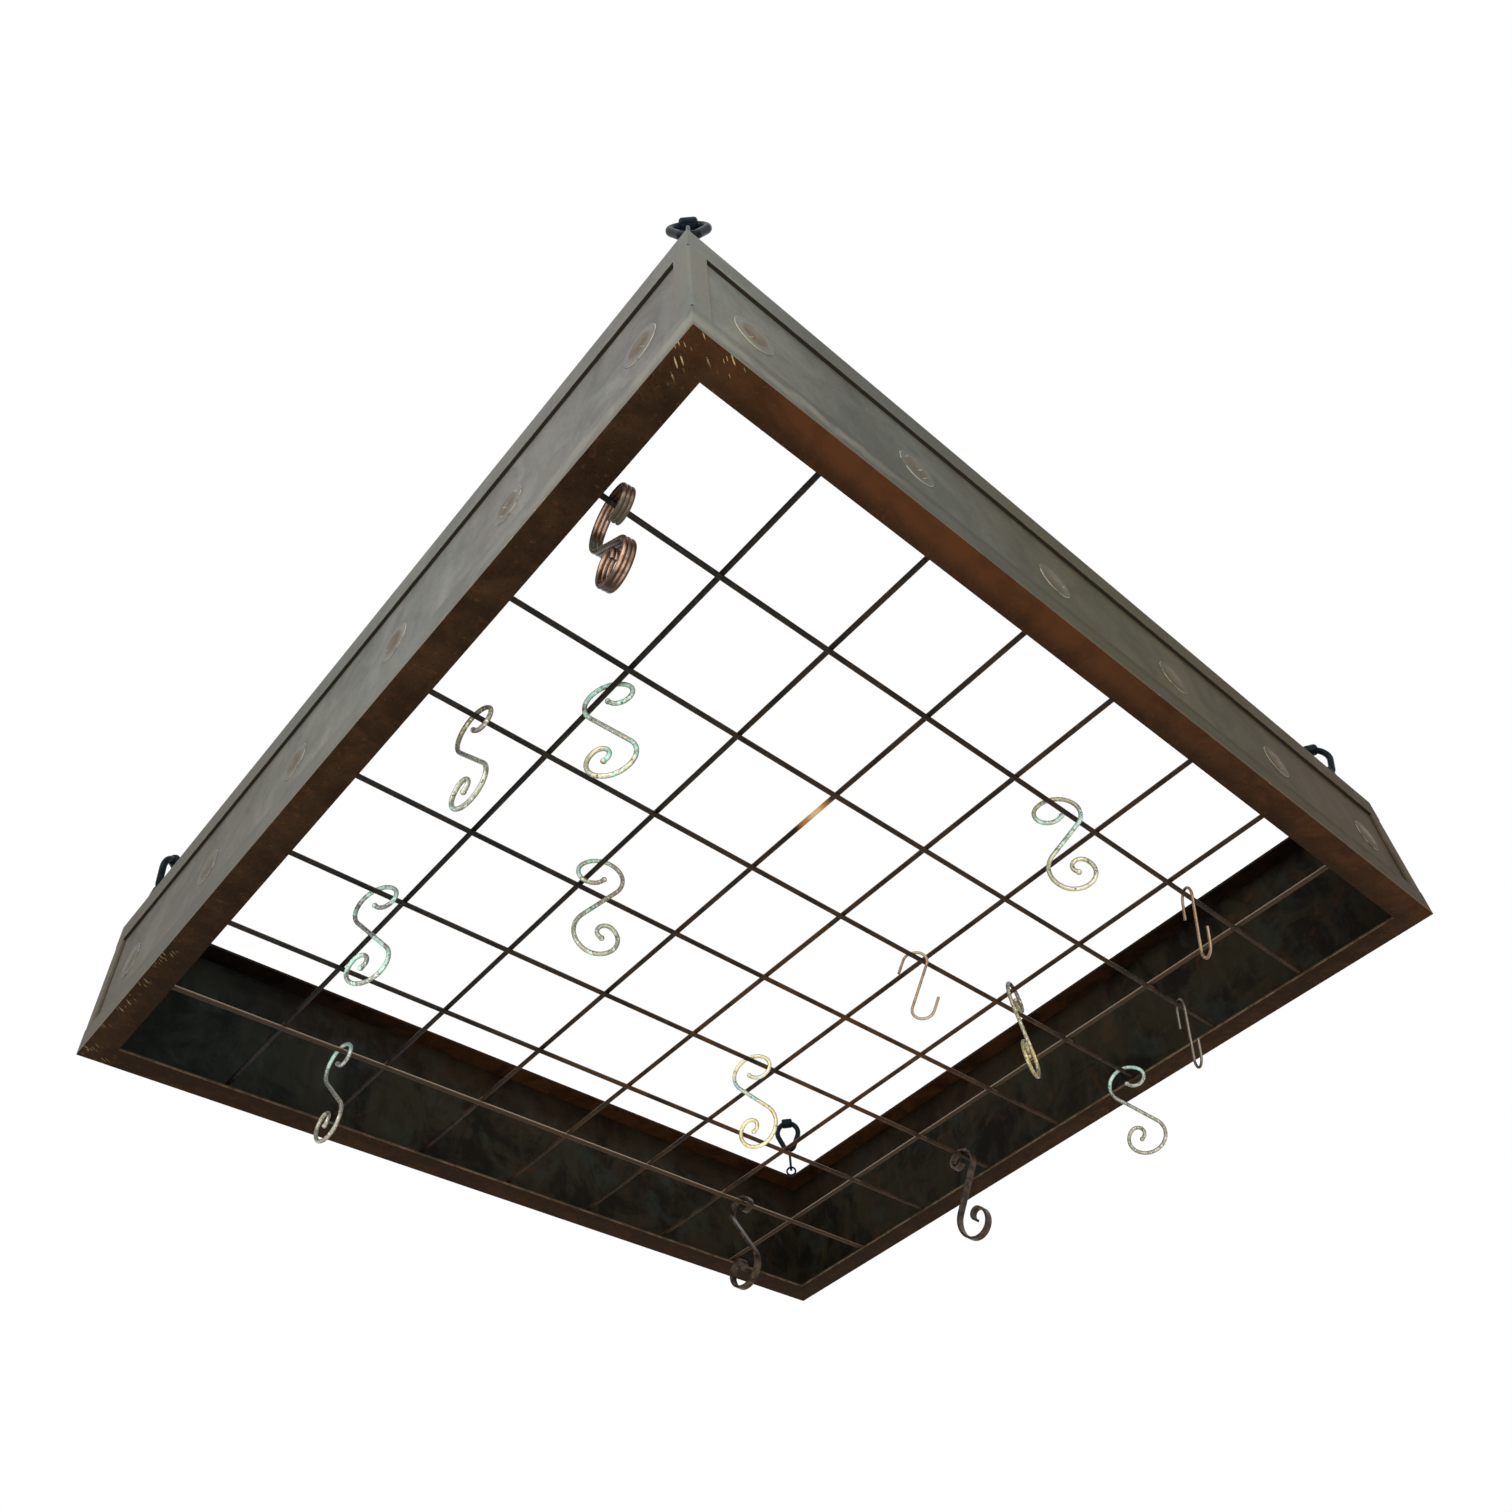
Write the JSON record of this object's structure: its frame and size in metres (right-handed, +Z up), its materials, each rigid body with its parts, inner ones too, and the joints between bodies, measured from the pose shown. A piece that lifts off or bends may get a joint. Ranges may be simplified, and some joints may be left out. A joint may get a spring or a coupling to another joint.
{
  "type": "hanging pot rack",
  "caption": "Square hanging pot rack: shallow bronze-patina box frame with round bosses, a grid of rods with swinging scroll hooks, and linked hangers at the corners.",
  "frame": {"origin": "middle of the rack at its top face, midway between the four corner hangers", "axes": "+Z up; the two outer faces towards the viewer in the picture are the west face (-X) and the south face (-Y), and the near corner is south-west"},
  "size_m": [1, 1, 0.3839],
  "materials": {
    "lower_rail": "brown bronze patina, matt",
    "upper_rail": "grey-green bronze patina, satin",
    "post": "grey-green bronze patina, satin",
    "panel": "grey-green bronze patina, satin",
    "medallion": "grey-green bronze patina, satin",
    "rod": "dark brown, satin",
    "hanger": "blackened steel, glossy blue-black",
    "copper": "reeded copper with dark patina",
    "verdigris": "pale green verdigris over brass",
    "brass_patina": "yellow brass with pale verdigris",
    "iron": "dark wrought iron, satin",
    "copper_wire": "copper wire, satin"
  },
  "bodies": {
    "rack": {"rail_low_west": "lower_rail", "rail_low_south": "lower_rail", "rail_low_east": "lower_rail", "rail_low_north": "lower_rail", "rail_top_west": "upper_rail", "rail_top_south": "upper_rail", "rail_top_east": "upper_rail", "rail_top_north": "upper_rail", "post_sw": "post", "post_se": "post", "post_ne": "post", "post_nw": "post", "panel_west": "panel", "panel_south": "panel", "panel_east": "panel", "panel_north": "panel", "medallions_west": "medallion", "medallions_south": "medallion", "medallions_east": "medallion", "medallions_north": "medallion", "rod_x_1": "rod", "rod_x_2": "rod", "rod_x_3": "rod", "rod_x_4": "rod", "rod_x_5": "rod", "rod_x_6": "rod", "rod_x_7": "rod", "rod_y_1": "rod", "rod_y_2": "rod", "rod_y_3": "rod", "rod_y_4": "rod", "rod_y_5": "rod", "rod_y_6": "rod", "rod_y_7": "rod", "eyes": "hanger"},
    "lower_link_sw": {"link_sw": "hanger"},
    "upper_link_sw": {"loop_sw": "hanger"},
    "lower_link_se": {"link_se": "hanger"},
    "upper_link_se": {"loop_se": "hanger"},
    "lower_link_ne": {"link_ne": "hanger"},
    "upper_link_ne": {"loop_ne": "hanger"},
    "lower_link_nw": {"link_nw": "hanger"},
    "upper_link_nw": {"loop_nw": "hanger"},
    "hook_body_01": {"hook_01": "copper"},
    "hook_body_02": {"hook_02": "verdigris"},
    "hook_body_03": {"hook_03": "verdigris"},
    "hook_body_04": {"hook_04": "verdigris"},
    "hook_body_05": {"hook_05": "verdigris"},
    "hook_body_06": {"hook_06": "verdigris"},
    "hook_body_07": {"hook_07": "brass_patina"},
    "hook_body_08": {"hook_08": "iron"},
    "hook_body_09": {"hook_09": "iron"},
    "hook_body_10": {"hook_10": "verdigris"},
    "hook_body_11": {"hook_11": "copper_wire"},
    "hook_body_12": {"hook_12": "brass_patina"},
    "hook_body_13": {"hook_13": "copper_wire"},
    "hook_body_14": {"hook_14": "copper_wire"},
    "hook_body_15": {"hook_15": "verdigris"}
  },
  "joints": [
    {"name": "lower_link_sw_swing", "type": "hinge", "parent": "rack", "child": "lower_link_sw", "pos_m": [-0.485, -0.485, 0.0274], "axis": [0.7071, -0.7071, 0], "range_deg": [-50, 70]},
    {"name": "upper_link_sw_swing", "type": "hinge", "parent": "lower_link_sw", "child": "upper_link_sw", "pos_m": [-0.48088, -0.48088, 0.06044], "axis": [0.6964, 0.6964, -0.1736], "range_deg": [-60, 60]},
    {"name": "lower_link_se_swing", "type": "hinge", "parent": "rack", "child": "lower_link_se", "pos_m": [0.48421, -0.48421, 0.0273], "axis": [0.6964, -0.6964, 0.1736], "range_deg": [-60, 60]},
    {"name": "upper_link_se_swing", "type": "hinge", "parent": "lower_link_se", "child": "upper_link_se", "pos_m": [0.48009, -0.48009, 0.06034], "axis": [0.7071, 0.7071, 0], "range_deg": [-60, 60]},
    {"name": "lower_link_ne_swing", "type": "hinge", "parent": "rack", "child": "lower_link_ne", "pos_m": [0.485, 0.485, 0.0274], "axis": [0.7071, -0.7071, 0], "range_deg": [-70, 50]},
    {"name": "upper_link_ne_swing", "type": "hinge", "parent": "lower_link_ne", "child": "upper_link_ne", "pos_m": [0.48088, 0.48088, 0.06044], "axis": [0.6964, 0.6964, 0.1736], "range_deg": [-60, 60]},
    {"name": "lower_link_nw_swing", "type": "hinge", "parent": "rack", "child": "lower_link_nw", "pos_m": [-0.485, 0.485, 0.0274], "axis": [0.7071, 0.7071, 0], "range_deg": [-70, 50]},
    {"name": "upper_link_nw_swing", "type": "hinge", "parent": "lower_link_nw", "child": "upper_link_nw", "pos_m": [-0.48088, 0.48088, 0.06044], "axis": [-0.6964, 0.6964, 0.1736], "range_deg": [-60, 60]},
    {"name": "hook_01_swing", "type": "hinge", "parent": "rack", "child": "hook_body_01", "pos_m": [-0.4565, -0.3525, -0.1665], "axis": [1, 0, 0], "range_deg": [-45, 45]},
    {"name": "hook_02_swing", "type": "hinge", "parent": "rack", "child": "hook_body_02", "pos_m": [-0.3525, -0.2065, -0.1615], "axis": [0, 1, 0], "range_deg": [-45, 45]},
    {"name": "hook_03_swing", "type": "hinge", "parent": "rack", "child": "hook_body_03", "pos_m": [-0.4245, -0.1175, -0.1665], "axis": [1, 0, 0], "range_deg": [-45, 45]},
    {"name": "hook_04_swing", "type": "hinge", "parent": "rack", "child": "hook_body_04", "pos_m": [-0.235, -0.03, -0.1615], "axis": [0, 1, 0], "range_deg": [-45, 45]},
    {"name": "hook_05_swing", "type": "hinge", "parent": "rack", "child": "hook_body_05", "pos_m": [-0.3795, 0.1175, -0.1665], "axis": [1, 0, 0], "range_deg": [-45, 45]},
    {"name": "hook_06_swing", "type": "hinge", "parent": "rack", "child": "hook_body_06", "pos_m": [-0.288, 0.3525, -0.1665], "axis": [1, 0, 0], "range_deg": [-45, 45]},
    {"name": "hook_07_swing", "type": "hinge", "parent": "rack", "child": "hook_body_07", "pos_m": [0.08, 0.1175, -0.1665], "axis": [1, 0, 0], "range_deg": [-45, 45]},
    {"name": "hook_08_swing", "type": "hinge", "parent": "rack", "child": "hook_body_08", "pos_m": [0.2625, 0.3525, -0.1665], "axis": [1, 0, 0], "range_deg": [-45, 45]},
    {"name": "hook_09_swing", "type": "hinge", "parent": "rack", "child": "hook_body_09", "pos_m": [0.4215, 0.1175, -0.1665], "axis": [1, 0, 0], "range_deg": [-45, 45]},
    {"name": "hook_10_swing", "type": "hinge", "parent": "rack", "child": "hook_body_10", "pos_m": [0.0495, -0.3525, -0.1665], "axis": [1, 0, 0], "range_deg": [-45, 45]},
    {"name": "hook_11_swing", "type": "hinge", "parent": "rack", "child": "hook_body_11", "pos_m": [0.1, -0.1175, -0.1665], "axis": [1, 0, 0], "range_deg": [-45, 45]},
    {"name": "hook_12_swing", "type": "hinge", "parent": "rack", "child": "hook_body_12", "pos_m": [0.235, -0.138, -0.1615], "axis": [0, 1, 0], "range_deg": [-45, 45]},
    {"name": "hook_13_swing", "type": "hinge", "parent": "rack", "child": "hook_body_13", "pos_m": [0.259, -0.3525, -0.1665], "axis": [1, 0, 0], "range_deg": [-45, 45]},
    {"name": "hook_14_swing", "type": "hinge", "parent": "rack", "child": "hook_body_14", "pos_m": [0.405, -0.235, -0.1665], "axis": [1, 0, 0], "range_deg": [-45, 45]},
    {"name": "hook_15_swing", "type": "hinge", "parent": "rack", "child": "hook_body_15", "pos_m": [0.455, -0.1175, -0.1665], "axis": [1, 0, 0], "range_deg": [-45, 45]}
  ]
}
